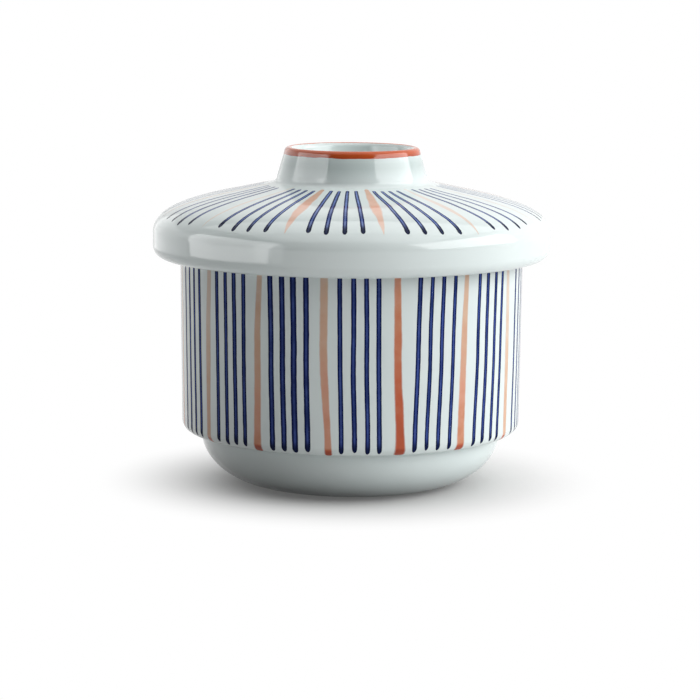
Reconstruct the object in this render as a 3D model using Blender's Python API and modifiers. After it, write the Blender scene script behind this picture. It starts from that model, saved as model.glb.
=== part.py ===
"""Lidded soup bowl: a small porcelain cup with a stepped lower body and an overlapping lid.

The bowl stands on z = 0 with its axis on Z. The lid rests on the bowl's rim, is centred by a
flange under its crown, covers the rim with its skirt, and lifts straight up by its ring grip.
Metres throughout. Overall 92 mm across the lid and 78 mm high.
"""

from math import cos, radians, sin, tan

import bpy
from mathutils import Vector
from mathutils.geometry import interpolate_bezier

# Bowl, outside
BOWL_DIAMETER = 0.0794  # at the rim
BOWL_HEIGHT = 0.0599
BOWL_WALL = 0.0037
BOWL_TAPER = 0.00045  # radius lost between the rim and the lower edge of the wall
RIM_ROUNDING = 0.0012
WALL_FOOT_HEIGHT = 0.0123  # of the wall's lower edge, above the table
WALL_FOOT_ROUNDING = 0.0023
STEP_DEPTH = 0.0045  # how far the lower body is set back from the wall
STEP_COVE = 0.0006

# Bowl, foot and inside
FOOT_DIAMETER = 0.0402
FOOT_LAND = 0.0031  # width of the ring that stands on the table
FOOT_RECESS = 0.0015
FLOOR_THICKNESS = 0.0035
BASIN_RISE = 0.0072  # height of the rounded basin above the set-back step

# Lid, fit on the bowl
SEAT_CLEARANCE = 0.0003
SKIRT_CLEARANCE = 0.0026  # between the bowl's rim and the skirt round it
FLANGE_CLEARANCE = 0.0006  # between the bowl's inner wall and the flange inside it
FLANGE_DEPTH = 0.0042
FLANGE_WALL = 0.0028
SEAT_COVE = 0.0015

# Lid, outside, with heights from the seat
LID_WALL = 0.0037
SKIRT_DROP = 0.0076
SKIRT_SIDE = 0.0058  # height of the upright side above the lower edge
SKIRT_ROUNDING = 0.0027
CROWN_RISE = 0.0096  # from the seat to the edge of the crown at the grip
CROWN_SLOPE = 13.0  # degrees, where the crown leaves the grip

# Ring grip
GRIP_DIAMETER = 0.0314  # across the lip
GRIP_HEIGHT = 0.0082  # above the edge of the crown
GRIP_LIP_RADIUS = 0.00105
GRIP_FLARE = 0.0016  # how far the outside spreads from lip to root
GRIP_FILLET = 0.0016
GRIP_RECESS = 0.0072  # depth of the hollow inside the ring
GRIP_DRAFT = 0.0006

# Curve handles, as shares of the run that each curve spans
LOWER_BODY_HANDLES = (0.53, 0.53)
BASIN_HANDLES = (0.66, 0.72)
SHOULDER_HANDLES = (0.464, 0.61)
DOME_HANDLES = (0.55, 0.67)

# The most of a wall or step that a rounding takes
RIM_SHARE = 0.45
STEP_EDGE_SHARE = 0.6
STEP_COVE_SHARE = 0.3
SKIRT_EDGE_SHARE = 0.75
FLANGE_TIP_SHARE = 0.4

# Facets round a turn, along a long curve, and in a rounding
TURN_STEPS = 64
CURVE_STEPS = 9
SHOULDER_STEPS = 11
LIP_STEPS = 8
EDGE_STEPS = 4
COVE_STEPS = 3
SAME_POINT = 0.000001

BOWL_COLOUR = (0.74, 0.77, 0.82, 1.0)
LID_COLOUR = (0.77, 0.80, 0.84, 1.0)
GLAZE_ROUGHNESS = 0.08

# Radii and heights that the two pieces share
rim_radius = BOWL_DIAMETER / 2
mouth_radius = rim_radius - BOWL_WALL
seat_height = BOWL_HEIGHT + SEAT_CLEARANCE
skirt_radius = rim_radius + SKIRT_CLEARANCE
lid_radius = skirt_radius + LID_WALL
flange_radius = mouth_radius - FLANGE_CLEARANCE


def arc(centre_x, centre_z, radius, start, end, steps):
    angles = [radians(start + (end - start) * i / steps) for i in range(steps + 1)]
    return [(centre_x + radius * cos(a), centre_z + radius * sin(a)) for a in angles]


def curve(start, start_handle, end_handle, end, steps):
    ends = [Vector(p).to_3d() for p in (start, start_handle, end_handle, end)]
    return [(p.x, p.y) for p in interpolate_bezier(*ends, steps + 1)]


def joined(*runs):
    """One profile from several runs of points, without the points that two runs share."""
    points = []
    for point in (p for run in runs for p in run):
        if not points or (Vector(point) - Vector(points[-1])).length > SAME_POINT:
            points.append(point)
    return points


def bowl_profile():
    """From the middle of the floor up the inside, over the rim, down the outside, to the foot."""
    rim = min(RIM_ROUNDING, BOWL_WALL * RIM_SHARE)
    wall_foot_radius = rim_radius - BOWL_TAPER
    edge = min(WALL_FOOT_ROUNDING, STEP_DEPTH * STEP_EDGE_SHARE)
    cove = min(STEP_COVE, STEP_DEPTH * STEP_COVE_SHARE)
    shelf = WALL_FOOT_HEIGHT - cove
    lower_radius = wall_foot_radius - STEP_DEPTH
    floor = FOOT_RECESS + FLOOR_THICKNESS
    spring = WALL_FOOT_HEIGHT + STEP_DEPTH + BASIN_RISE
    spring_radius = wall_foot_radius - BOWL_WALL
    foot_radius = FOOT_DIAMETER / 2
    recess_radius = foot_radius - FOOT_LAND - FOOT_RECESS

    drop, spread = BASIN_HANDLES
    basin = curve(
        (0, floor),
        (spring_radius * spread, floor),
        (spring_radius, spring - (spring - floor) * drop),
        (spring_radius, spring),
        CURVE_STEPS,
    )
    inner_lip = arc(mouth_radius + rim, BOWL_HEIGHT - rim, rim, 180, 90, COVE_STEPS)
    outer_lip = arc(rim_radius - rim, BOWL_HEIGHT - rim, rim, 90, 0, COVE_STEPS)
    wall_foot = arc(wall_foot_radius - edge, WALL_FOOT_HEIGHT + edge, edge, 0, -90, EDGE_STEPS)
    step = arc(lower_radius + cove, shelf, cove, 90, 180, COVE_STEPS)
    upright, outward = LOWER_BODY_HANDLES
    lower_body = curve(
        (lower_radius, shelf),
        (lower_radius, shelf * (1 - upright)),
        (foot_radius + (lower_radius - foot_radius) * outward, 0),
        (foot_radius, 0),
        CURVE_STEPS,
    )
    recess = arc(recess_radius, 0, FOOT_RECESS, 0, 90, COVE_STEPS)
    middle = [(0, FOOT_RECESS)]
    return joined(basin, inner_lip, outer_lip, wall_foot, step, lower_body, recess, middle)


def grip_profile(crown_floor):
    """From the middle of the hollow, over the lip of the ring, down to the crown's edge."""
    grip_radius = GRIP_DIAMETER / 2
    lip_height = CROWN_RISE + GRIP_HEIGHT - GRIP_LIP_RADIUS
    lip_middle = grip_radius - GRIP_LIP_RADIUS
    hollow_middle = lip_middle - GRIP_LIP_RADIUS - GRIP_DRAFT - GRIP_FILLET
    root_middle = grip_radius + GRIP_FLARE + GRIP_FILLET
    hollow = arc(hollow_middle, crown_floor + GRIP_FILLET, GRIP_FILLET, -90, 0, COVE_STEPS)
    lip = arc(lip_middle, lip_height, GRIP_LIP_RADIUS, 180, 0, LIP_STEPS)
    root = arc(
        root_middle, CROWN_RISE + GRIP_FILLET, GRIP_FILLET, 180, 270 - CROWN_SLOPE, EDGE_STEPS
    )
    return joined([(0, crown_floor)], hollow, lip, root)


def lid_profile():
    """From the middle of the grip, down the crown and skirt, then back under the lid."""
    crown_floor = CROWN_RISE + GRIP_HEIGHT - GRIP_RECESS
    side_top = SKIRT_SIDE - SKIRT_DROP
    edge = min(SKIRT_ROUNDING, LID_WALL * SKIRT_EDGE_SHARE)
    inner_edge = LID_WALL - edge
    flange_inside = flange_radius - FLANGE_WALL
    flange_tip = FLANGE_WALL * FLANGE_TIP_SHARE
    tip_height = flange_tip - FLANGE_DEPTH
    dome_top = crown_floor - LID_WALL

    grip = grip_profile(crown_floor)
    crown_radius, crown_edge = grip[-1]
    reach, rise = SHOULDER_HANDLES
    run = (lid_radius - crown_radius) * reach
    shoulder = curve(
        (crown_radius, crown_edge),
        (crown_radius + run, crown_edge - run * tan(radians(CROWN_SLOPE))),
        (lid_radius, side_top + (crown_edge - side_top) * rise),
        (lid_radius, side_top),
        SHOULDER_STEPS,
    )
    skirt_outside = arc(lid_radius - edge, edge - SKIRT_DROP, edge, 0, -90, EDGE_STEPS)
    skirt_inside = arc(
        skirt_radius + inner_edge, inner_edge - SKIRT_DROP, inner_edge, -90, -180, COVE_STEPS
    )
    seat = arc(skirt_radius - SEAT_COVE, -SEAT_COVE, SEAT_COVE, 0, 90, COVE_STEPS)
    flange_root = [(flange_radius, 0)]
    flange_outside = arc(flange_radius - flange_tip, tip_height, flange_tip, 0, -90, COVE_STEPS)
    flange_back = arc(flange_inside + flange_tip, tip_height, flange_tip, -90, -180, COVE_STEPS)
    climb, spread = DOME_HANDLES
    dome = curve(
        (flange_inside, 0),
        (flange_inside, dome_top * climb),
        (flange_inside * spread, dome_top),
        (0, dome_top),
        CURVE_STEPS,
    )
    outside = joined(grip, shoulder, skirt_outside, skirt_inside)
    underside = joined(seat, flange_root, flange_outside, flange_back, dome)
    return joined(outside, underside)


def glaze(name, colour):
    material = bpy.data.materials.new(name)
    material.use_nodes = True
    shader = material.node_tree.nodes["Principled BSDF"]
    shader.inputs["Base Color"].default_value = colour
    shader.inputs["Roughness"].default_value = GLAZE_ROUGHNESS
    shader.inputs["Metallic"].default_value = 0.0
    return material


def turned(name, profile, height, material, collection):
    """A solid of revolution about Z from a profile that starts and ends on the axis."""
    mesh = bpy.data.meshes.new(name)
    corners = [(x, 0, z) for x, z in profile]
    mesh.from_pydata(corners, [(i, i + 1) for i in range(len(corners) - 1)], [])
    mesh.materials.append(material)
    piece = bpy.data.objects.new(name, mesh)
    piece.location.z = height
    collection.objects.link(piece)
    screw = piece.modifiers.new("turn", "SCREW")
    screw.axis = "Z"
    screw.steps = TURN_STEPS
    screw.render_steps = TURN_STEPS
    screw.use_smooth_shade = True
    screw.use_merge_vertices = True
    screw.merge_threshold = SAME_POINT
    return piece


def main():
    for leftover in list(bpy.data.objects):
        bpy.data.objects.remove(leftover, do_unlink=True)
    collection = bpy.data.collections.new("lidded_soup_bowl")
    bpy.context.scene.collection.children.link(collection)
    bowl = turned("bowl", bowl_profile(), 0, glaze("bowl_porcelain", BOWL_COLOUR), collection)
    lid = turned("lid", lid_profile(), seat_height, glaze("lid_porcelain", LID_COLOUR), collection)
    lid.parent = bowl


main()
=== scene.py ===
import math
import random

import bmesh
import bpy
from mathutils import Matrix, Vector, noise
from mathutils.geometry import interpolate_bezier


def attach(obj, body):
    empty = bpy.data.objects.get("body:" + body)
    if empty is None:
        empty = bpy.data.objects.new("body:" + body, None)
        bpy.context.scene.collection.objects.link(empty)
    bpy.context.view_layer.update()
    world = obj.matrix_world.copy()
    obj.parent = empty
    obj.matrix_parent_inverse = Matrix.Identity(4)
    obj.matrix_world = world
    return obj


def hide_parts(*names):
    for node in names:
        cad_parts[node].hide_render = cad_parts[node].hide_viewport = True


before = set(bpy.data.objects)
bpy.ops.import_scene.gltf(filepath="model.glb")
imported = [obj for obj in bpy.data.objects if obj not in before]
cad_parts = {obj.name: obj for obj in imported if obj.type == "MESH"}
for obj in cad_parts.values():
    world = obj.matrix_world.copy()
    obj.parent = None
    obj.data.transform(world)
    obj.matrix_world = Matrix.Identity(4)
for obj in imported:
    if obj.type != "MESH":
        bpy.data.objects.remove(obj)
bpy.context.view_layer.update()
mm = 0.001
mergeReach = 0.0005 * mm


def linear(hexColour):  # sRGB hex to the linear values that sockets take
    parts = [int(hexColour[i:i + 2], 16) / 255 for i in (1, 3, 5)]
    return [p / 12.92 if p <= 0.04045 else ((p + 0.055) / 1.055) ** 2.4 for p in parts] + [1.0]


def addNode(tree, kind, inputs, **settings):
    made = tree.nodes.new(kind)
    for name, value in settings.items():
        setattr(made, name, value)
    for name, value in inputs.items():
        if isinstance(value, bpy.types.NodeSocket):
            tree.links.new(value, made.inputs[name])
        else:
            made.inputs[name].default_value = value
    return made


def startMaterial(name):
    material = bpy.data.materials.new(name)
    material.use_nodes = True
    material.node_tree.nodes.clear()
    return material, material.node_tree


def finishPiece(name, bm, materials, body):
    mesh = bpy.data.meshes.new(name)
    bm.to_mesh(mesh)
    bm.free()
    for material in materials:
        mesh.materials.append(material)
    piece = bpy.data.objects.new(name, mesh)
    bpy.context.scene.collection.objects.link(piece)
    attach(piece, body)
    return piece


# Glazed porcelain: white body under a clear, faintly green glaze. A mirror-like coat with a very slight
# ripple, darker and greyer where the glaze runs thick in a cove, painted shade that darkens the grip's
# outer wall, and a few dark specks.
porcelainLook = {
    "white": "#DCE4E3",
    "cloud": "#D2DDDC",
    "pooledAndShaded": "#B8C5C3",
    "speck": "#7F8580",
    "cloudSize": 22,
    "rippleSize": 7,
    "rippleDepth": 0.012,
    "speckSpacing": 3.2,
    "speckReach": 0.10,
    "speckRarity": 0.93,  # the share of grains that stay clear
    "roughness": (0.07, 0.11),
    "ior": 1.5,
}


def porcelainMaterial(look):
    material, tree = startMaterial("glazed porcelain")
    place = addNode(tree, "ShaderNodeTexCoord", {}).outputs["Object"]
    cloud = addNode(tree, "ShaderNodeTexNoise",
                    {"Vector": place, "Scale": 1 / (look["cloudSize"] * mm), "Detail": 2.0})
    tone = addNode(tree, "ShaderNodeMix",
                   {0: cloud.outputs["Fac"], 6: linear(look["white"]), 7: linear(look["cloud"])},
                   data_type="RGBA")
    # darker where the glaze runs thick in a cove, and painted shade on the grip's outer wall
    poolAndShade = addNode(tree, "ShaderNodeAttribute", {}, attribute_name="glazePoolAndShade")
    pooledAndShaded = addNode(tree, "ShaderNodeMix",
                     {0: poolAndShade.outputs["Fac"], 6: tone.outputs[2], 7: linear(look["pooledAndShaded"])},
                     data_type="RGBA")
    grains = addNode(tree, "ShaderNodeTexVoronoi",
                     {"Vector": place, "Scale": 1 / (look["speckSpacing"] * mm)})
    nearGrain = addNode(tree, "ShaderNodeMapRange",
                        {"Value": grains.outputs["Distance"], "From Min": 0.0,
                         "From Max": look["speckReach"] / look["speckSpacing"], "To Min": 1.0,
                         "To Max": 0.0})
    chosen = addNode(tree, "ShaderNodeSeparateColor", {"Color": grains.outputs["Color"]})
    rare = addNode(tree, "ShaderNodeMath", {0: chosen.outputs[0], 1: look["speckRarity"]},
                   operation="GREATER_THAN")
    speck = addNode(tree, "ShaderNodeMath", {0: nearGrain.outputs[0], 1: rare.outputs[0]},
                    operation="MULTIPLY")
    colour = addNode(tree, "ShaderNodeMix",
                     {0: speck.outputs[0], 6: pooledAndShaded.outputs[2], 7: linear(look["speck"])},
                     data_type="RGBA")
    ripple = addNode(tree, "ShaderNodeTexNoise",
                     {"Vector": place, "Scale": 1 / (look["rippleSize"] * mm), "Detail": 2.0,
                      "Roughness": 0.4})
    bump = addNode(tree, "ShaderNodeBump",
                   {"Height": ripple.outputs["Fac"], "Distance": look["rippleDepth"] * mm,
                    "Strength": 1.0})
    low, high = look["roughness"]
    haze = addNode(tree, "ShaderNodeMapRange",
                   {"Value": cloud.outputs["Fac"], "To Min": low, "To Max": high})
    shader = addNode(tree, "ShaderNodeBsdfPrincipled",
                     {"Base Color": colour.outputs[2], "Roughness": haze.outputs[0], "IOR": look["ior"],
                      "Normal": bump.outputs[0]})
    addNode(tree, "ShaderNodeOutputMaterial", {"Surface": shader.outputs[0]})
    return material


# Bare biscuit: unglazed fired clay on the standing ring and the tip of the lid's flange. Dry, warm and
# slightly gritty.
biscuitLook = {
    "light": "#E6DFD2",
    "dark": "#CFC5B4",
    "gritSize": 0.45,  # finer on real biscuit, and drawn coarse enough to show
    "gritDepth": 0.02,
    "roughness": 0.78,
}


def biscuitMaterial(look):
    material, tree = startMaterial("bare biscuit")
    place = addNode(tree, "ShaderNodeTexCoord", {}).outputs["Object"]
    grit = addNode(tree, "ShaderNodeTexNoise",
                   {"Vector": place, "Scale": 1 / (look["gritSize"] * mm), "Detail": 3.0})
    colour = addNode(tree, "ShaderNodeMix",
                     {0: grit.outputs["Fac"], 6: linear(look["light"]), 7: linear(look["dark"])},
                     data_type="RGBA")
    bump = addNode(tree, "ShaderNodeBump",
                   {"Height": grit.outputs["Fac"], "Distance": look["gritDepth"] * mm, "Strength": 1.0})
    shader = addNode(tree, "ShaderNodeBsdfPrincipled",
                     {"Base Color": colour.outputs[2], "Roughness": look["roughness"],
                      "Normal": bump.outputs[0]})
    addNode(tree, "ShaderNodeOutputMaterial", {"Surface": shader.outputs[0]})
    return material


# Cobalt underglaze: a loaded liner brush leaves a dark edge on both sides, a thinner and bluer middle,
# a drop at the end of the line, and pinholes. The gloss over the paint is weak, so that it stays dark.
bowlBlueLook = {
    "name": "cobalt line",
    "edge": "#121E4E",
    "middle": "#44579D",
    "drop": "#0D1639",
    "dropFrom": (0.93, 0.975),  # along the line
    "dropDepth": 0.9,
    "pinhole": "#C6CBD6",
    "middleBand": (0.08, 0.26),  # off the middle, as shares of the width
    "streakSize": 5,
    "streakSpan": (0.3, 0.62),
    "streakLeast": 0.35,  # of the middle's wash, where the brush drags
    "grainSize": 0.5,  # finer in real cobalt, and drawn coarse enough to show
    "grainSpan": (0.3, 0.7),
    "grainWash": (0.7, 1.1),
    "pinholeSpacing": 1.5,
    "pinholeReach": 0.10,
    "pinholeRarity": 0.8,
    "roughness": (0.05, 0.10),
    "ior": 1.1,
}
# on the lid the lighter middle stands partly for painted glint of the lamps in the glaze, and the longer
# drop partly for painted shade at the line ends
lidBlueLook = bowlBlueLook | {
    "name": "cobalt line with painted glint and shade",
    "edge": "#111E56",
    "middle": "#7A90CA",
    "drop": "#0A102C",
    "dropFrom": (0.84, 0.95),
    "ior": 1.2,
}


def cobaltMaterial(look):
    material, tree = startMaterial(look["name"])
    place = addNode(tree, "ShaderNodeTexCoord", {}).outputs["Object"]
    along = addNode(tree, "ShaderNodeUVMap", {}, uv_map="stroke")
    parts = addNode(tree, "ShaderNodeSeparateXYZ", {"Vector": along.outputs[0]})
    fromMiddle = addNode(tree, "ShaderNodeMath", {0: parts.outputs[0], 1: 0.5}, operation="SUBTRACT")
    side = addNode(tree, "ShaderNodeMath", {0: fromMiddle.outputs[0]}, operation="ABSOLUTE")
    start, end = look["middleBand"]
    band = addNode(tree, "ShaderNodeMapRange",
                   {"Value": side.outputs[0], "From Min": start, "From Max": end, "To Min": 1.0,
                    "To Max": 0.0}, interpolation_type="SMOOTHSTEP")
    streak = addNode(tree, "ShaderNodeTexNoise",
                     {"Vector": place, "Scale": 1 / (look["streakSize"] * mm), "Detail": 2.0})
    start, end = look["streakSpan"]
    thin = addNode(tree, "ShaderNodeMapRange",
                   {"Value": streak.outputs["Fac"], "From Min": start, "From Max": end,
                    "To Min": look["streakLeast"], "To Max": 1.0})
    grain = addNode(tree, "ShaderNodeTexNoise",
                    {"Vector": place, "Scale": 1 / (look["grainSize"] * mm), "Detail": 2.0})
    start, end = look["grainSpan"]
    low, high = look["grainWash"]
    grainy = addNode(tree, "ShaderNodeMapRange",
                     {"Value": grain.outputs["Fac"], "From Min": start, "From Max": end, "To Min": low,
                      "To Max": high})
    washed = addNode(tree, "ShaderNodeMath", {0: band.outputs[0], 1: thin.outputs[0]},
                     operation="MULTIPLY")
    mottled = addNode(tree, "ShaderNodeMath", {0: washed.outputs[0], 1: grainy.outputs[0]},
                      operation="MULTIPLY", use_clamp=True)
    line = addNode(tree, "ShaderNodeMix",
                   {0: mottled.outputs[0], 6: linear(look["edge"]), 7: linear(look["middle"])},
                   data_type="RGBA")
    start, end = look["dropFrom"]
    atEnd = addNode(tree, "ShaderNodeMapRange",
                    {"Value": parts.outputs[1], "From Min": start, "From Max": end, "To Min": 0.0,
                     "To Max": look["dropDepth"]}, interpolation_type="SMOOTHSTEP")
    ended = addNode(tree, "ShaderNodeMix",
                    {0: atEnd.outputs[0], 6: line.outputs[2], 7: linear(look["drop"])},
                    data_type="RGBA")
    grains = addNode(tree, "ShaderNodeTexVoronoi",
                     {"Vector": place, "Scale": 1 / (look["pinholeSpacing"] * mm)})
    nearGrain = addNode(tree, "ShaderNodeMapRange",
                        {"Value": grains.outputs["Distance"], "From Min": 0.0,
                         "From Max": look["pinholeReach"] / look["pinholeSpacing"], "To Min": 1.0,
                         "To Max": 0.0})
    chosen = addNode(tree, "ShaderNodeSeparateColor", {"Color": grains.outputs["Color"]})
    rare = addNode(tree, "ShaderNodeMath", {0: chosen.outputs[0], 1: look["pinholeRarity"]},
                   operation="GREATER_THAN")
    hole = addNode(tree, "ShaderNodeMath", {0: nearGrain.outputs[0], 1: rare.outputs[0]},
                   operation="MULTIPLY")
    colour = addNode(tree, "ShaderNodeMix",
                     {0: hole.outputs[0], 6: ended.outputs[2], 7: linear(look["pinhole"])},
                     data_type="RGBA")
    low, high = look["roughness"]
    haze = addNode(tree, "ShaderNodeMapRange",
                   {"Value": grain.outputs["Fac"], "To Min": low, "To Max": high})
    shader = addNode(tree, "ShaderNodeBsdfPrincipled",
                     {"Base Color": colour.outputs[2], "Roughness": haze.outputs[0],
                      "IOR": look["ior"]})
    addNode(tree, "ShaderNodeOutputMaterial", {"Surface": shader.outputs[0]})
    return material


# Iron red wash: thin colour from a soft brush. Tan and pale where the brush is dry, redder where it is
# loaded and on the way down, and a darker dab where the brush is lifted.
redBrush = {
    "driftSpan": (0.25, 0.75),
    "drift": 0.07,  # uneven load
    "warming": 0.42,  # how much redder by the end of the stroke
    "softEdge": (0.34, 0.5, 0.55),  # from and to, off the middle, and how much bleeds away
    "roughness": (0.05, 0.10),
}
bowlRedLook = redBrush | {
    "name": "iron red line",
    "wash": ((0, "#D4C0B0"), (0.12, "#CFAF98"), (0.25, "#CDA48A"), (0.38, "#D0967E"), (0.5, "#C27F5F"),
             (0.7, "#B9593A"), (1, "#A2452B")),
    "bleed": "#CED3CF",
    "streakSize": 3.5,
    "dab": (0.945, 0.972, 0.5),  # from and to along the stroke, and how much darker
    "ior": 1.3,
}
lidRedLook = redBrush | {
    "name": "iron red leaf",
    "wash": ((0, "#DACFC5"), (0.3, "#D9C3B5"), (0.55, "#CBA58B"), (0.75, "#E0B29D"), (0.9, "#E0BCA9"),
             (1, "#E0C9BB")),
    "bleed": "#D8DDDA",
    "streakSize": 3,
    "dab": (0.9, 1.0, 0.0),
    "ior": 1.5,
}
rimRedLook = redBrush | {
    "name": "iron red rim",
    "wash": ((0, "#CC6A42"), (0.2, "#C0562B"), (0.45, "#B34C24"), (1, "#9A3F1E")),
    "bleed": "#C0562B",
    "streakSize": 4,
    "dab": (0.7, 1.0, 0.25),
    "ior": 1.5,
}


def ironRedMaterial(look):
    material, tree = startMaterial(look["name"])
    place = addNode(tree, "ShaderNodeTexCoord", {}).outputs["Object"]
    along = addNode(tree, "ShaderNodeUVMap", {}, uv_map="stroke")
    parts = addNode(tree, "ShaderNodeSeparateXYZ", {"Vector": along.outputs[0]})
    load = addNode(tree, "ShaderNodeAttribute", {}, attribute_name="brushLoad")
    streak = addNode(tree, "ShaderNodeTexNoise",
                     {"Vector": place, "Scale": 1 / (look["streakSize"] * mm), "Detail": 3.0})
    start, end = look["driftSpan"]
    drift = addNode(tree, "ShaderNodeMapRange",
                    {"Value": streak.outputs["Fac"], "From Min": start, "From Max": end,
                     "To Min": -look["drift"], "To Max": look["drift"]})
    loaded = addNode(tree, "ShaderNodeMath", {0: load.outputs["Fac"], 1: drift.outputs[0]},
                     operation="ADD")
    warmed = addNode(tree, "ShaderNodeMath",
                     {0: parts.outputs[1], 1: look["warming"], 2: loaded.outputs[0]},
                     operation="MULTIPLY_ADD")
    start, end, darker = look["dab"]
    lifting = addNode(tree, "ShaderNodeMapRange",
                      {"Value": parts.outputs[1], "From Min": start, "From Max": end, "To Max": darker},
                      interpolation_type="SMOOTHSTEP")
    depth = addNode(tree, "ShaderNodeMath", {0: warmed.outputs[0], 1: lifting.outputs[0]},
                    operation="ADD")
    colour = addNode(tree, "ShaderNodeValToRGB", {"Fac": depth.outputs[0]})
    stops = colour.color_ramp.elements
    for spot, _ in look["wash"][1:-1]:
        stops.new(spot)
    for stop, (spot, hexColour) in zip(stops, look["wash"]):
        stop.position = spot
        stop.color = linear(hexColour)
    fromMiddle = addNode(tree, "ShaderNodeMath", {0: parts.outputs[0], 1: 0.5}, operation="SUBTRACT")
    side = addNode(tree, "ShaderNodeMath", {0: fromMiddle.outputs[0]}, operation="ABSOLUTE")
    start, end, bled = look["softEdge"]
    thin = addNode(tree, "ShaderNodeMapRange",
                   {"Value": side.outputs[0], "From Min": start, "From Max": end, "To Max": bled},
                   interpolation_type="SMOOTHSTEP")
    soft = addNode(tree, "ShaderNodeMix",
                   {0: thin.outputs[0], 6: colour.outputs[0], 7: linear(look["bleed"])},
                   data_type="RGBA")
    low, high = look["roughness"]
    haze = addNode(tree, "ShaderNodeMapRange",
                   {"Value": streak.outputs["Fac"], "To Min": low, "To Max": high})
    shader = addNode(tree, "ShaderNodeBsdfPrincipled",
                     {"Base Color": soft.outputs[2], "Roughness": haze.outputs[0], "IOR": look["ior"]})
    addNode(tree, "ShaderNodeOutputMaterial", {"Surface": shader.outputs[0]})
    return material


porcelain = porcelainMaterial(porcelainLook)
biscuit = biscuitMaterial(biscuitLook)
bowlBlue = cobaltMaterial(bowlBlueLook)
lidBlue = cobaltMaterial(lidBlueLook)
bowlRed = ironRedMaterial(bowlRedLook)
lidRed = ironRedMaterial(lidRedLook)
rimRed = ironRedMaterial(rimRedLook)
print("finishes mixed")


def arcRun(centreR, centreZ, radius, startAngle, endAngle, steps):
    angles = [math.radians(startAngle + (endAngle - startAngle) * i / steps) for i in range(steps + 1)]
    return [(centreR + radius * math.cos(a), centreZ + radius * math.sin(a)) for a in angles]


def curveRun(start, startHandle, endHandle, end, steps):
    corners = [Vector((r, z, 0)) for r, z in (start, startHandle, endHandle, end)]
    return [(p.x, p.y) for p in interpolate_bezier(*corners, steps + 1)]


def straightRun(start, end, steps):
    return [tuple(Vector(start).lerp(Vector(end), i / steps)) for i in range(steps + 1)]


def turnedBody(profile, turnSteps, poolsAndShade, bareTest):
    bm = bmesh.new()
    poolAndShadeLayer = bm.verts.layers.float.new("glazePoolAndShade")
    line = [bm.verts.new((r * mm, 0, z * mm)) for r, z in profile]
    edges = [bm.edges.new(pair) for pair in zip(line, line[1:])]
    slices = 8  # one slice is spun, and the rest of the turn is copies of it, which is much quicker
    bmesh.ops.spin(bm, geom=line + edges, cent=(0, 0, 0), axis=(0, 0, 1), dvec=(0, 0, 0),
                   angle=math.tau / slices, steps=turnSteps // slices, use_merge=False,
                   use_duplicate=False)
    firstSlice = bm.verts[:] + bm.edges[:] + bm.faces[:]
    bmesh.ops.spin(bm, geom=firstSlice, cent=(0, 0, 0), axis=(0, 0, 1), dvec=(0, 0, 0),
                   angle=math.tau * (slices - 1) / slices, steps=slices - 1, use_merge=False,
                   use_duplicate=True)
    bmesh.ops.remove_doubles(bm, verts=bm.verts, dist=mergeReach)
    bmesh.ops.recalc_face_normals(bm, faces=bm.faces)
    # the darker tone: thick glaze in the coves, and painted shade on the lid's grip wall
    for vert in bm.verts:
        here = Vector((vert.co.xy.length / mm, vert.co.z / mm))
        vert[poolAndShadeLayer] = max(max(0.0, 1 - (here - Vector(p[:2])).length / p[2]) for p in poolsAndShade)
    for face in bm.faces:
        face.smooth = True
        middle = face.calc_center_median() / mm
        face.material_index = 1 if bareTest(middle.xy.length, middle.z) else 0
    return bm


bowlSizes = {
    "rim": 39.7, "mouth": 36.0, "height": 59.9, "rimRounding": 1.2,
    "wallFoot": (39.25, 12.3), "wallFootRounding": 2.3,
    "lowerTop": (34.75, 11.7), "stepCove": 0.6,
    "footOutside": 20.1, "footInside": 17.0, "footRecess": 1.5,
    "floor": 5.0, "basinTop": (35.55, 24.0),
    "basinHandles": (0.72, 0.66), "lowerHandles": (0.47, 0.53),  # shares of each curve's width or height
    "poolsAndShade": [(35.2, 12.1, 1.0), (15.6, 1.2, 1.6)],  # radius, height, reach of thick glaze
    "bareBelow": 0.02,
    "turnSteps": 288,
}


def bowlProfile(s):
    rim, rounding = s["rim"], s["rimRounding"]
    footR, footZ = s["wallFoot"]
    edge = s["wallFootRounding"]
    lowR, lowZ = s["lowerTop"]
    topR, topZ = s["basinTop"]
    across, down = s["basinHandles"]
    basin = curveRun((0, s["floor"]), (topR * across, s["floor"]),
                     (topR, topZ - (topZ - s["floor"]) * down), (topR, topZ), 40)
    innerWall = straightRun((topR, topZ), (s["mouth"], s["height"] - rounding), 8)
    lip = arcRun(s["mouth"] + rounding, s["height"] - rounding, rounding, 180, 90, 8)
    lip += arcRun(rim - rounding, s["height"] - rounding, rounding, 90, 0, 8)
    wall = straightRun((rim, s["height"] - rounding), (footR, footZ + edge), 16)
    wallFoot = arcRun(footR - edge, footZ + edge, edge, 0, -90, 16)
    cove = arcRun(lowR + s["stepCove"], lowZ, s["stepCove"], 90, 180, 8)
    down, across = s["lowerHandles"]
    lower = curveRun((lowR, lowZ), (lowR, lowZ * down),
                     (s["footOutside"] + (lowR - s["footOutside"]) * across, 0),
                     (s["footOutside"], 0), 40)
    land = straightRun((s["footOutside"], 0), (s["footInside"], 0), 4)
    recess = arcRun(s["footInside"] - s["footRecess"], 0, s["footRecess"], 0, 90, 8)
    under = straightRun((s["footInside"] - s["footRecess"], s["footRecess"]), (0, s["footRecess"]), 8)
    return basin + innerWall + lip + wall + wallFoot + cove + lower + land + recess + under


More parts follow.
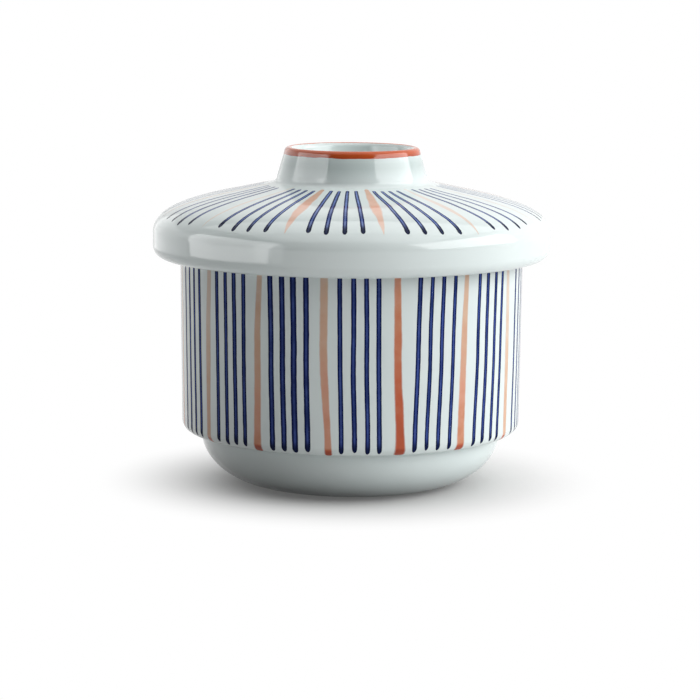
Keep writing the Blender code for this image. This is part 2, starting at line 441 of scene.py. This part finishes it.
lidSizes = {
    "seat": 60.2, "skirtInside": 42.3, "outside": 46.0, "lowest": 52.6,
    "outerEdge": 2.7, "innerEdge": 1.0, "sideTop": 58.4, "seatCove": 1.5,
    "flangeOutside": 35.4, "flangeInside": 32.6, "flangeEnd": 56.0, "flangeTip": 1.12,
    "crownEdge": 69.8, "crownSlope": 13.0, "shoulderHandles": (0.464, 0.61),
    "domeTop": 67.1, "domeHandles": (0.55, 0.67),
    "gripRadius": 15.7, "gripTop": 77.985, "lipRadius": 1.05, "gripFlare": 1.6, "gripFillet": 1.6,
    "hollowRadius": 13.0, "hollowFloor": 70.8,
    # radius, height, reach of thick glaze in the coves; the first is painted shade that darkens the
    # grip's outer wall
    "poolsAndShade": [(16.3, 74.6, 3.4), (12.2, 71.3, 2.2), (41.6, 59.5, 2.0), (35.6, 60.0, 1.5)],
    "bareInside": 37, "bareBelow": 57.2,
    "turnSteps": 320,
}


def gripRoot(s):  # the fillet from the grip's wall to the crown
    return arcRun(s["gripRadius"] + s["gripFlare"] + s["gripFillet"], s["crownEdge"] + s["gripFillet"],
                  s["gripFillet"], 180, 270 - s["crownSlope"], 12)


def shoulderRun(s, steps):
    start = gripRoot(s)[-1]
    reach, rise = s["shoulderHandles"]
    run = (s["outside"] - start[0]) * reach
    return curveRun(start, (start[0] + run, start[1] - run * math.tan(math.radians(s["crownSlope"]))),
                    (s["outside"], s["sideTop"] + (start[1] - s["sideTop"]) * rise),
                    (s["outside"], s["sideTop"]), steps)


def lidProfile(s):
    lipMiddle = s["gripRadius"] - s["lipRadius"]
    lipHeight = s["gripTop"] - s["lipRadius"]
    fillet = s["gripFillet"]
    hollow = straightRun((0, s["hollowFloor"]), (s["hollowRadius"] - fillet, s["hollowFloor"]), 6)
    hollow += arcRun(s["hollowRadius"] - fillet, s["hollowFloor"] + fillet, fillet, -90, 0, 10)
    inner = straightRun(hollow[-1], (lipMiddle - s["lipRadius"], lipHeight), 4)
    lip = arcRun(lipMiddle, lipHeight, s["lipRadius"], 180, 0, 20)
    root = gripRoot(s)
    gripWall = straightRun(lip[-1], root[0], 6)
    edge, inside = s["outerEdge"], s["innerEdge"]
    side = straightRun((s["outside"], s["sideTop"]), (s["outside"], s["lowest"] + edge), 6)
    skirt = arcRun(s["outside"] - edge, s["lowest"] + edge, edge, 0, -90, 16)
    skirt += arcRun(s["skirtInside"] + inside, s["lowest"] + inside, inside, -90, -180, 8)
    cove = s["seatCove"]
    seat = straightRun(skirt[-1], (s["skirtInside"], s["seat"] - cove), 4)
    seat += arcRun(s["skirtInside"] - cove, s["seat"] - cove, cove, 0, 90, 8)
    seat += straightRun(seat[-1], (s["flangeOutside"], s["seat"]), 4)
    tip = s["flangeTip"]
    flange = straightRun(seat[-1], (s["flangeOutside"], s["flangeEnd"] + tip), 4)
    flange += arcRun(s["flangeOutside"] - tip, s["flangeEnd"] + tip, tip, 0, -90, 8)
    flange += arcRun(s["flangeInside"] + tip, s["flangeEnd"] + tip, tip, -90, -180, 8)
    flange += straightRun(flange[-1], (s["flangeInside"], s["seat"]), 4)
    rise = s["domeTop"] - s["seat"]
    up, across = s["domeHandles"]
    dome = curveRun((s["flangeInside"], s["seat"]), (s["flangeInside"], s["seat"] + rise * up),
                    (s["flangeInside"] * across, s["domeTop"]), (0, s["domeTop"]), 40)
    crown = gripWall + root + shoulderRun(s, 60) + side
    return hollow + inner + lip + crown + skirt + seat + flange + dome


bowlMesh = turnedBody(bowlProfile(bowlSizes), bowlSizes["turnSteps"], bowlSizes["poolsAndShade"],
                      lambda r, z: z < bowlSizes["bareBelow"])
bowlBody = finishPiece("bowl_body", bowlMesh, [porcelain, biscuit], "bowl")
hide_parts("bowl")
lidMesh = turnedBody(lidProfile(lidSizes), lidSizes["turnSteps"], lidSizes["poolsAndShade"],
                     lambda r, z: r < lidSizes["bareInside"] and z < lidSizes["bareBelow"])
lidBody = finishPiece("lid_body", lidMesh, [porcelain, biscuit], "lid")
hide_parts("lid")
print("bodies turned")


def measured(run):  # points with their distance along the run
    path = [(0.0, *run[0])]
    for r, z in run[1:]:
        step = math.dist((r, z), path[-1][1:])
        if step > 1e-6:
            path.append((path[-1][0] + step, r, z))
    return path


def lengthWhere(path, column, value):  # column 1 is radius, 2 is height
    for before, after in zip(path, path[1:]):
        if min(before[column], after[column]) <= value <= max(before[column], after[column]):
            share = (value - before[column]) / (after[column] - before[column])
            return before[0] + share * (after[0] - before[0])
    return path[-1][0]


def placeOn(path, length):  # radius, height and outward normal
    i = 1
    while i < len(path) - 1 and path[i][0] < length:
        i += 1
    before, after = path[i - 1], path[i]
    share = (length - before[0]) / (after[0] - before[0])
    spot = Vector(before[1:]).lerp(Vector(after[1:]), share)
    tangent = (Vector(after[1:]) - Vector(before[1:])).normalized()
    return spot, Vector((-tangent.y, tangent.x))


def between(pairs, t):  # a value from a short list of (place, value)
    for (t0, v0), (t1, v1) in zip(pairs, pairs[1:]):
        if t <= t1:
            share = max(0.0, (t - t0) / (t1 - t0))
            return v0 + (v1 - v0) * share * share * (3 - 2 * share)
    return pairs[-1][1]


def addStroke(bm, path, stroke):
    uvLayer = bm.loops.layers.uv.verify()
    loadLayer = bm.verts.layers.float.get("brushLoad") or bm.verts.layers.float.new("brushLoad")
    made = bmesh.ops.create_grid(bm, x_segments=stroke["across"], y_segments=stroke["along"], size=0.5)
    start, end = stroke["start"], stroke["end"]
    spots = {}
    for vert in made["verts"]:
        u = vert.co.x + 0.5
        t = (1 - math.cos(math.pi * (0.5 - vert.co.y))) / 2  # rows crowd at both ends
        length = start + (end - start) * t
        spot, normal = placeOn(path, length)
        half = between(stroke["widths"], t) / 2
        startCap, endCap = stroke["caps"]
        for gap, cap in ((length - start, startCap), (end - length, endCap)):
            if gap < cap:
                half *= math.sqrt(max(0.0, 1 - (1 - gap / cap) ** 2))
        sideways = 1 if u > 0.5 else 2  # side and seed only pick another row of the noise
        coarse, fine = stroke["roughWaves"]
        rough = noise.noise(Vector((length / coarse, stroke["seed"] * 7.3, sideways * 3.1)))
        rough += 0.5 * noise.noise(Vector((length / fine, stroke["seed"] * 5.9, sideways * 8.7)))
        half *= 1 + stroke["roughEdge"] * rough
        swayed = noise.noise(Vector((length / stroke["swayWave"], stroke["seed"] * 3.7, 0.5)))
        sway = stroke["sway"] * swayed
        offset = (u - 0.5) * 2 * half + sway
        angle = math.radians(between(stroke["angles"], t)) + offset / spot.x
        radius = spot.x + normal.x * stroke["proud"]
        vert.co = Vector((radius * math.sin(angle), -radius * math.cos(angle),
                          spot.y + normal.y * stroke["proud"])) * mm
        vert[loadLayer] = stroke["load"]
        spots[vert] = (u, t)
    for face in {f for vert in made["verts"] for f in vert.link_faces}:
        for loop in face.loops:
            loop[uvLayer].uv = spots[loop.vert]


def thicken(bm, depth):  # paint is laid as sheets facing out, and grows inward to thin closed solids
    creaseAngle = 0.6  # radians
    bmesh.ops.remove_doubles(bm, verts=bm.verts, dist=mergeReach)
    bm.normal_update()
    bmesh.ops.solidify(bm, geom=bm.faces[:], thickness=depth * mm)
    bmesh.ops.recalc_face_normals(bm, faces=bm.faces)
    for face in bm.faces:
        face.smooth = True
    for edge in bm.edges:
        edge.smooth = edge.calc_face_angle(0) < creaseAngle
    return bm


def spread(frontAngles, count, drift, chance):  # the seen angles, and the rest spaced round the back
    angles = list(frontAngles)
    gap = (frontAngles[0] + 360 - frontAngles[-1]) / (count - len(frontAngles) + 1)
    for i in range(1, count - len(frontAngles) + 1):
        angles.append(frontAngles[-1] + gap * i + chance.uniform(-drift, drift))
    return angles


bowlStripes = {
    "count": 15,
    "frontReds": (-54.4, -31.6, -8.8, 15.2, 39.5, 63.8),  # degrees to the right of the viewer's side
    "frontShift": (0.0, -0.3, -0.4, 1.3, 0.8, 1.5),  # of the blue lines between two reds
    "frontLean": (0.6, 0.9, 0.8, -1.4, -1.6, -1.2),  # from top to bottom
    "firstBlue": 0.235, "blueStep": 0.176, "blues": 4,  # shares of the gap between two reds
    "top": 57.4, "blueEnd": 13.1, "redEnd": 12.45,
    "blueWidth": 1.12, "blueWeight": (1.1, 1.2, 1.0, 0.97, 1.0, 1.0),
    "redWidths": (  # at the top, half way, near the end, and where the brush is lifted
        (1.55, 1.9, 1.5, 1.6), (1.35, 1.75, 1.85, 2.2), (1.8, 1.8, 1.5, 1.7), (1.6, 1.85, 2.15, 2.6),
        (1.25, 1.85, 2.05, 2.3), (1.4, 1.9, 1.7, 1.5)),
    "redStops": (0, 0.55, 0.88, 1),
    "redLoads": (-0.15, 0.02, 0.05, 0.38, 0.08, -0.12),
    "redBends": ((1.1, -0.1), (1.2, -0.2), (0.2, 1.6), (-0.5, 1.2), (0.9, -0.7), (-0.6, -0.4)),
    "redRoughEdge": 0.09, "redAcross": 4,
    "redCaps": (0.8, 0.75), "blueCaps": (0.6, 1.4),  # how long the rounding is at the top and at the end
    "chanceSeed": 11,
    # round the back, by chance between these
    "redDrift": 0.9, "backBend": (-1, 1), "backLean": (-1.4, 1.2), "backShift": (-0.6, 1.0),
    "backWidths": (1.5, 1.7, 1.8), "backLift": (1.9, 2.6), "backLoads": (-0.05, 0.03, 0.15, 0.33),
    # all round, by chance between these
    "redEndDrift": (-0.15, 0.12), "blueStartDrift": (-0.6, 0.6), "blueEndDrift": (-0.3, 0.25),
    "blueDrift": (-0.2, 0.2), "blueWidthDrift": (0.92, 1.06),
}
lidStripes = {
    "count": 12,
    "frontReds": (-48.6, -19.2, 9.1, 38.4),
    "topShift": (4.5, -0.5, 0.4, -0.8),  # of a leaf's upper end
    "firstBlue": 0.237, "blueStep": 0.183, "blues": 4,
    "blueTopShift": (1.2, -0.6, -2.2, -3.0),  # of the blue lines' upper ends
    "blueWeight": (0.95, 1.0, 0.95, 0.78), "leafWeight": (0.38, 0.94, 0.88, 0.6, 0.35),
    "leafLoads": (-0.3, 0.55, 0.55, -0.08, -0.3),
    "blueStart": 20.1, "blueEnd": 44.25, "redStart": 19.2, "redEnd": 44.6,
    "blueWidths": ((0, 0.85), (0.2, 1.0), (0.8, 1.05), (0.93, 1.1), (1, 1.2)),
    "redWidths": ((0, 1.2), (0.3, 2.3), (0.55, 2.7), (0.8, 1.6), (1, 0.5)),
    "redRoughEdge": 0.10, "redAcross": 4,
    "redCaps": (0.9, 2.2), "blueCaps": (0.5, 1.1),
    "chanceSeed": 23,
    # round the back, by chance between these
    "redDrift": 1.0, "backShift": (-1.5, 1.5), "backWeight": (0.74, 0.95),
    "backLeafWeights": (0.45, 0.7, 1.0), "backLeafLoad": 0.55,
    # all round, by chance between these
    "redStartDrift": (-0.5, 0.4), "redEndDrift": (-0.8, 0.3), "blueStartDrift": (-0.25, 0.35),
    "blueEndDrift": (-0.4, 0.4), "blueDrift": (-0.3, 0.3), "blueWidthDrift": (0.94, 1.05),
}
strokeFinish = {
    "across": 2, "along": 112,  # faces
    "proud": 0.01, "depth": 0.12,
    "roughEdge": 0.07, "roughWaves": (2.6, 0.7),
    "sway": 0.12, "swayWave": 16,
    "load": 0.0,
}


def bowlPaint(s):
    chance = random.Random(s["chanceSeed"])
    foot = bowlSizes["wallFootRounding"]
    footR, footZ = bowlSizes["wallFoot"]
    wallTop = bowlSizes["height"] - bowlSizes["rimRounding"]
    run = straightRun((bowlSizes["rim"], wallTop), (footR, footZ + foot), 24)
    path = measured(run + arcRun(footR - foot, footZ + foot, foot, 0, -85, 30))
    reds = spread(s["frontReds"], s["count"], s["redDrift"], chance)
    top = lengthWhere(path, 2, s["top"])
    blueMesh, redMesh = bmesh.new(), bmesh.new()
    for i, red in enumerate(reds):
        seen = i < len(s["frontReds"])
        gap = (reds[(i + 1) % s["count"]] - red) % 360
        bend = s["redBends"][i] if seen else [chance.uniform(*s["backBend"]) for _ in range(2)]
        lean = s["frontLean"][i] if seen else chance.uniform(*s["backLean"])
        shift = s["frontShift"][i] if seen else chance.uniform(*s["backShift"])
        widths = s["redWidths"][i] if seen else (*s["backWidths"], chance.uniform(*s["backLift"]))
        load = s["redLoads"][i] if seen else chance.choice(s["backLoads"])
        weight = s["blueWeight"][i] if seen else 1.0
        end = lengthWhere(path, 2, s["redEnd"]) + chance.uniform(*s["redEndDrift"])
        addStroke(redMesh, path, strokeFinish | {
            "start": top, "end": end, "caps": s["redCaps"],
            "widths": list(zip(s["redStops"], widths)),
            "angles": ((0, red + bend[0]), (0.45, red), (1, red + bend[1])),
            "seed": i + 40.5, "roughEdge": s["redRoughEdge"], "across": s["redAcross"], "load": load,
        })
        for j in range(s["blues"]):
            share = s["firstBlue"] + s["blueStep"] * j
            angle = red + gap * share + shift + chance.uniform(*s["blueDrift"])
            width = s["blueWidth"] * weight * chance.uniform(*s["blueWidthDrift"])
            end = lengthWhere(path, 2, s["blueEnd"]) + chance.uniform(*s["blueEndDrift"])
            addStroke(blueMesh, path, strokeFinish | {
                "start": top + chance.uniform(*s["blueStartDrift"]), "end": end,
                "caps": s["blueCaps"], "widths": ((0, width), (1, width)),
                "angles": ((0, angle - lean * 0.35), (0.5, angle), (1, angle + lean * 0.65)),
                "seed": i * 4 + j + 0.5,
            })
    return thicken(blueMesh, strokeFinish["depth"]), thicken(redMesh, strokeFinish["depth"])


def lidPaint(s):
    chance = random.Random(s["chanceSeed"])
    path = measured(gripRoot(lidSizes)[4:] + shoulderRun(lidSizes, 120))  # from part way down the fillet
    reds = spread(s["frontReds"], s["count"], s["redDrift"], chance)
    blueMesh, redMesh = bmesh.new(), bmesh.new()
    for i, red in enumerate(reds):
        seen = i < len(s["frontReds"])
        gap = (reds[(i + 1) % s["count"]] - red) % 360
        topShift = s["topShift"][i] if seen else chance.uniform(*s["backShift"])
        blueShift = s["blueTopShift"][i] if seen else chance.uniform(*s["backShift"])
        weight = s["blueWeight"][i] if seen else chance.uniform(*s["backWeight"])
        known = i < len(s["leafWeight"])  # one leaf more shows at the far right
        swell = s["leafWeight"][i] if known else chance.choice(s["backLeafWeights"])
        load = s["leafLoads"][i] if known else swell * s["backLeafLoad"]
        addStroke(redMesh, path, strokeFinish | {
            "start": lengthWhere(path, 1, s["redStart"] + chance.uniform(*s["redStartDrift"])),
            "end": lengthWhere(path, 1, s["redEnd"] + chance.uniform(*s["redEndDrift"])),
            "caps": s["redCaps"], "widths": [(t, w * swell) for t, w in s["redWidths"]],
            "angles": ((0, red + topShift), (0.6, red + topShift * 0.25), (1, red)),
            "seed": i + 90.5, "roughEdge": s["redRoughEdge"], "across": s["redAcross"], "load": load,
        })
        for j in range(s["blues"]):
            share = s["firstBlue"] + s["blueStep"] * j
            angle = red + gap * share + chance.uniform(*s["blueDrift"])
            wide = weight * chance.uniform(*s["blueWidthDrift"])
            addStroke(blueMesh, path, strokeFinish | {
                "start": lengthWhere(path, 1, s["blueStart"] + chance.uniform(*s["blueStartDrift"])),
                "end": lengthWhere(path, 1, s["blueEnd"] + chance.uniform(*s["blueEndDrift"])),
                "caps": s["blueCaps"], "widths": [(t, w * wide) for t, w in s["blueWidths"]],
                "angles": ((0, angle + blueShift), (0.5, angle + blueShift * 0.35), (1, angle)),
                "seed": i * 4 + j + 120.5,
            })
    return thicken(blueMesh, strokeFinish["depth"]), thicken(redMesh, strokeFinish["depth"])


bowlBlueMesh, bowlRedMesh = bowlPaint(bowlStripes)
bowlBlueLines = finishPiece("bowl_blue_lines", bowlBlueMesh, [bowlBlue], "bowl")
bowlRedLines = finishPiece("bowl_red_lines", bowlRedMesh, [bowlRed], "bowl")
lidBlueMesh, lidRedMesh = lidPaint(lidStripes)
lidBlueLines = finishPiece("lid_blue_lines", lidBlueMesh, [lidBlue], "lid")
lidRedLeaves = finishPiece("lid_red_leaves", lidRedMesh, [lidRed], "lid")
print("strokes painted")


rimBand = {
    "innerAngle": 118,  # where the paint starts inside the lip
    "drop": 0.5,  # how far it runs down outside
    "uneven": 0.16, "unevenWaves": (3.2, 11),
    "innerUneven": 0.12, "innerWaves": 4,
    "proud": 0.01, "depth": 0.12,
    "turnSteps": 240, "rows": 22,
}


def gripRimPaint(s, sizes):
    lipMiddle = sizes["gripRadius"] - sizes["lipRadius"]
    lipHeight = sizes["gripTop"] - sizes["lipRadius"]
    lip = arcRun(lipMiddle, lipHeight, sizes["lipRadius"], s["innerAngle"], 0, 16)
    path = measured(lip + straightRun(lip[-1], gripRoot(sizes)[0], 12))
    finish = lengthWhere(path, 2, lipHeight - s["drop"])
    bm = bmesh.new()
    uvLayer = bm.loops.layers.uv.verify()
    made = bmesh.ops.create_grid(bm, x_segments=s["turnSteps"], y_segments=s["rows"], size=0.5)
    spots = {}
    for vert in made["verts"]:
        u, share = vert.co.x + 0.5, 0.5 - vert.co.y
        turn = Vector((math.sin(u * math.tau), -math.cos(u * math.tau)))
        slow, quick = s["unevenWaves"]
        waver = noise.noise(Vector((turn.x * slow, turn.y * slow, 4.5)))
        waver += 0.5 * noise.noise(Vector((turn.x * quick, turn.y * quick, 9.5)))
        waves = s["innerWaves"]
        inner = s["innerUneven"] * noise.noise(Vector((turn.x * waves, turn.y * waves, 21.5)))
        length = inner * (1 - share) + (finish + s["uneven"] * waver) * share
        spot, normal = placeOn(path, max(0.0, length))
        radius = spot.x + normal.x * s["proud"]
        vert.co = Vector((turn.x * radius, turn.y * radius, spot.y + normal.y * s["proud"])) * mm
        spots[vert] = (0.5, share)
    for face in bm.faces:
        for loop in face.loops:
            loop[uvLayer].uv = spots[loop.vert]
    return thicken(bm, s["depth"])


gripRimMesh = gripRimPaint(rimBand, lidSizes)
gripRim = finishPiece("grip_rim_paint", gripRimMesh, [rimRed], "lid")
for painted in (bowlBlueLines, bowlRedLines, lidBlueLines, lidRedLeaves, gripRim):
    painted.data.uv_layers[0].name = "stroke"
print("grip rim painted")


floorLook = {
    "colour": "#CECECD", "radius": 8000,
    "nearWhite": 0.1, "farWhite": 1.0, "fade": (24, 60),  # the table runs out to white
    # painted shadow in the table's bounce colour: little light back from the left and from under the
    # foot
    "leftBounce": 0.25, "rightBounce": 0.95, "leftToRight": (-45, 30),
    "footBounce": 0.3, "footReach": (30, 44),
    "farBounce": 0.68, "nearReach": (60, 130),
}


def studioFloor(s):  # plain pale table that runs out to white, and keeps the object's shadow
    material, tree = startMaterial("white table")
    place = addNode(tree, "ShaderNodeTexCoord", {}).outputs["Object"]
    spot = addNode(tree, "ShaderNodeSeparateXYZ", {"Vector": place})
    reach = addNode(tree, "ShaderNodeVectorMath", {0: place}, operation="LENGTH")
    start, end = s["fade"]
    fade = addNode(tree, "ShaderNodeMapRange",
                   {"Value": reach.outputs["Value"], "From Min": start * mm, "From Max": end * mm,
                    "To Min": s["nearWhite"], "To Max": s["farWhite"]}, interpolation_type="SMOOTHSTEP")
    light = addNode(tree, "ShaderNodeLightPath", {})
    seen = addNode(tree, "ShaderNodeMath",
                   {0: light.outputs["Is Camera Ray"], 1: light.outputs["Is Glossy Ray"]},
                   operation="MAXIMUM")
    seenToo = addNode(tree, "ShaderNodeMath",
                      {0: seen.outputs[0], 1: light.outputs["Is Transmission Ray"]},
                      operation="MAXIMUM")
    share = addNode(tree, "ShaderNodeMath", {0: seenToo.outputs[0], 1: fade.outputs[0]},
                    operation="MULTIPLY")
    start, end = s["leftToRight"]
    sideways = addNode(tree, "ShaderNodeMapRange",
                       {"Value": spot.outputs[0], "From Min": start * mm, "From Max": end * mm,
                        "To Min": s["leftBounce"], "To Max": s["rightBounce"]},
                       interpolation_type="SMOOTHSTEP")
    start, end = s["footReach"]
    underFoot = addNode(tree, "ShaderNodeMapRange",
                        {"Value": reach.outputs["Value"], "From Min": start * mm, "From Max": end * mm,
                         "To Min": s["footBounce"]}, interpolation_type="SMOOTHSTEP")
    nearby = addNode(tree, "ShaderNodeMath", {0: sideways.outputs[0], 1: underFoot.outputs[0]},
                     operation="MULTIPLY")
    start, end = s["nearReach"]
    away = addNode(tree, "ShaderNodeMapRange",
                   {"Value": reach.outputs["Value"], "From Min": start * mm, "From Max": end * mm},
                   interpolation_type="SMOOTHSTEP")
    # painted shadow: bounced light sees the table darker on the left and under the foot
    bounce = addNode(tree, "ShaderNodeMix",
                     {0: away.outputs[0], 2: nearby.outputs[0], 3: s["farBounce"]})
    tone = addNode(tree, "ShaderNodeMix",
                   {0: light.outputs["Is Diffuse Ray"], 6: linear(s["colour"]), 7: bounce.outputs[0]},
                   data_type="RGBA")
    matt = addNode(tree, "ShaderNodeBsdfDiffuse", {"Color": tone.outputs[2]})
    white = addNode(tree, "ShaderNodeEmission", {"Color": (1, 1, 1, 1), "Strength": 1.0})
    mixed = addNode(tree, "ShaderNodeMixShader",
                    {0: share.outputs[0], 1: matt.outputs[0], 2: white.outputs[0]})
    addNode(tree, "ShaderNodeOutputMaterial", {"Surface": mixed.outputs[0]})
    bm = bmesh.new()
    bmesh.ops.create_circle(bm, cap_ends=True, radius=s["radius"] * mm, segments=96)
    mesh = bpy.data.meshes.new("studio_floor")
    bm.to_mesh(mesh)
    bm.free()
    mesh.materials.append(material)
    floor = bpy.data.objects.new("studio_floor", mesh)
    bpy.context.scene.collection.objects.link(floor)


studioFloor(floorLook)

roomLook = {"white": 1.0, "side": (-0.3, 0.45), "height": (0.55, 0.78)}  # as parts of a unit direction


def studioRoom(s):  # the glaze shows a white screen and a dark room, and the view is white all round
    world = bpy.data.worlds.new("studio_room")
    world.use_nodes = True
    tree = world.node_tree
    tree.nodes.clear()
    way = addNode(tree, "ShaderNodeTexCoord", {}).outputs["Generated"]
    parts = addNode(tree, "ShaderNodeSeparateXYZ", {"Vector": way})
    start, end = s["side"]
    behind = addNode(tree, "ShaderNodeMapRange",
                     {"Value": parts.outputs[1], "From Min": start, "From Max": end,
                      "To Max": s["white"]}, interpolation_type="SMOOTHSTEP")
    start, end = s["height"]
    low = addNode(tree, "ShaderNodeMapRange",
                  {"Value": parts.outputs[2], "From Min": start, "From Max": end,
                   "To Min": 1.0, "To Max": 0.0}, interpolation_type="SMOOTHSTEP")
    screen = addNode(tree, "ShaderNodeMath", {0: behind.outputs[0], 1: low.outputs[0]},
                     operation="MULTIPLY")
    light = addNode(tree, "ShaderNodeLightPath", {})
    seen = addNode(tree, "ShaderNodeMath",
                   {0: light.outputs["Is Camera Ray"], 1: light.outputs["Is Transmission Ray"]},
                   operation="MAXIMUM")
    level = addNode(tree, "ShaderNodeMath", {0: screen.outputs[0], 1: seen.outputs[0]},
                    operation="MAXIMUM")
    glow = addNode(tree, "ShaderNodeBackground", {"Color": (1, 1, 1, 1), "Strength": level.outputs[0]})
    addNode(tree, "ShaderNodeOutputWorld", {"Surface": glow.outputs[0]})
    bpy.context.scene.world = world


studioRoom(roomLook)

# turn (to the right of the viewer's side) and height are in degrees, far and size in metres;
# a card shows in the glaze and adds no other light
lamps = {
    "key_right": {"turn": 75, "height": 25, "far": 0.8, "size": (1.0, 0.5), "watts": 7.0},
    "left_high": {"turn": -90, "height": 50, "far": 0.8, "size": (0.5, 0.5), "watts": 0.3},
    "top_back": {"turn": 180, "height": 70, "far": 0.9, "size": (1.4, 0.6), "watts": 3.6},
    "top_front": {"turn": 0, "height": 70, "far": 0.9, "size": (1.4, 0.6), "watts": 2.6},
    "card_left": {"turn": -73, "height": 15, "far": 0.36, "size": (0.40, 0.27), "watts": 1.23,
                  "onlyGloss": True},
    "card_front": {"turn": -45, "height": 9.5, "far": 0.40, "size": (0.12, 0.2), "watts": 0.12,
                   "onlyGloss": True},
    "card_back": {"turn": -129, "height": 9.5, "far": 0.36, "size": (0.36, 0.2), "watts": 0.15,
                  "onlyGloss": True},
}
lampAim = Vector((0, 0, 0.045))


def hangLamp(name, s):
    data = bpy.data.lights.new(name, "AREA")
    data.shape = "RECTANGLE"
    data.size, data.size_y = s["size"]
    data.energy = s["watts"]
    lamp = bpy.data.objects.new(name, data)
    turn, height = math.radians(s["turn"]), math.radians(s["height"])
    flat = math.cos(height)
    away = Vector((math.sin(turn) * flat, -math.cos(turn) * flat, math.sin(height)))
    lamp.location = lampAim + away * s["far"]
    lamp.rotation_euler = (-away).to_track_quat("-Z", "Y").to_euler()
    lamp.visible_camera = False
    lamp.visible_diffuse = not s.get("onlyGloss")
    bpy.context.scene.collection.objects.link(lamp)


for lampName, lampSizes in lamps.items():
    hangLamp(lampName, lampSizes)
print("studio lit")

cameraSpot = {
    "at": (-0.0002, -0.640, 0.125),
    "pitch": 0.1465,  # radians down from level
    "roll": 0.4,  # degrees
    "lens": 142.6, "sensor": 36, "clipStart": 0.01,
}
cameraData = bpy.data.cameras.new("photo_camera")
cameraData.lens = cameraSpot["lens"]
cameraData.sensor_width = cameraSpot["sensor"]
cameraData.clip_start = cameraSpot["clipStart"]
camera = bpy.data.objects.new("photo_camera", cameraData)
turned = Matrix.Rotation(math.pi / 2 - cameraSpot["pitch"], 4, "X")
rolled = Matrix.Rotation(math.radians(cameraSpot["roll"]), 4, "Z")
camera.matrix_world = Matrix.Translation(cameraSpot["at"]) @ turned @ rolled
bpy.context.scene.collection.objects.link(camera)
bpy.context.scene.camera = camera
bpy.context.scene.view_settings.view_transform = "Standard"

print("scene ready")
